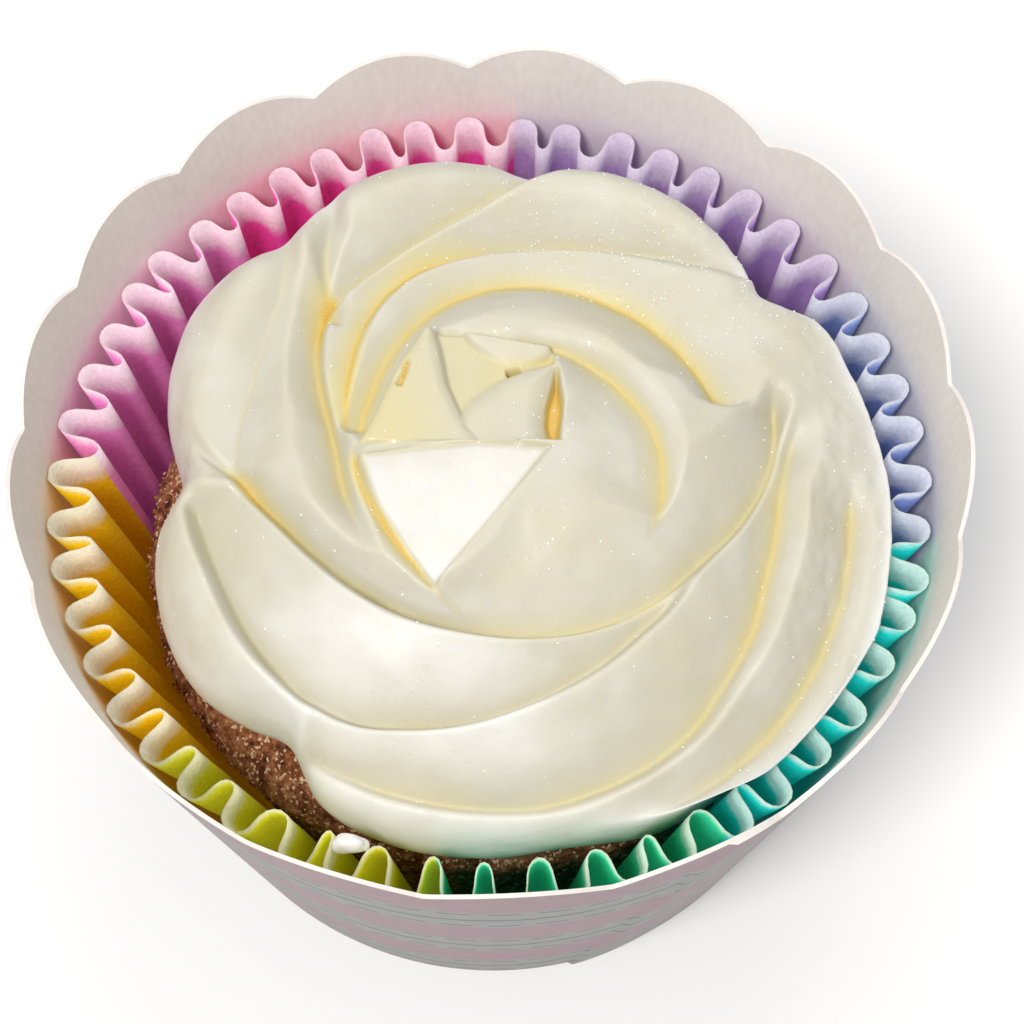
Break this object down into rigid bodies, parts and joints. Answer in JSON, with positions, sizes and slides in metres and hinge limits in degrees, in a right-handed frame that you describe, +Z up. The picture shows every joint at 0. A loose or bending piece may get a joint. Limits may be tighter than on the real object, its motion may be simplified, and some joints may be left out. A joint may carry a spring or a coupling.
{
  "type": "iced cupcake",
  "caption": "Chocolate cupcake with a piped rose swirl of cream icing, in a pleated paper case inside a scalloped card baking cup.",
  "frame": {"origin": "centre of the cup's foot, on the surface it stands on", "axes": "+Z up along the cup's axis, -Y towards the front"},
  "size_m": [0.0705, 0.0705, 0.0476],
  "materials": {
    "card": "matt, plain inside, pale bands printed outside",
    "case_paper": "matt baking paper in sectors of colour",
    "cake_crumb": "baked chocolate crumb",
    "icing": "soft satin buttercream"
  },
  "bodies": {
    "root": {"card_cup": "card", "paper_case": "case_paper", "cake": "cake_crumb", "icing": "icing"}
  },
  "joints": []
}
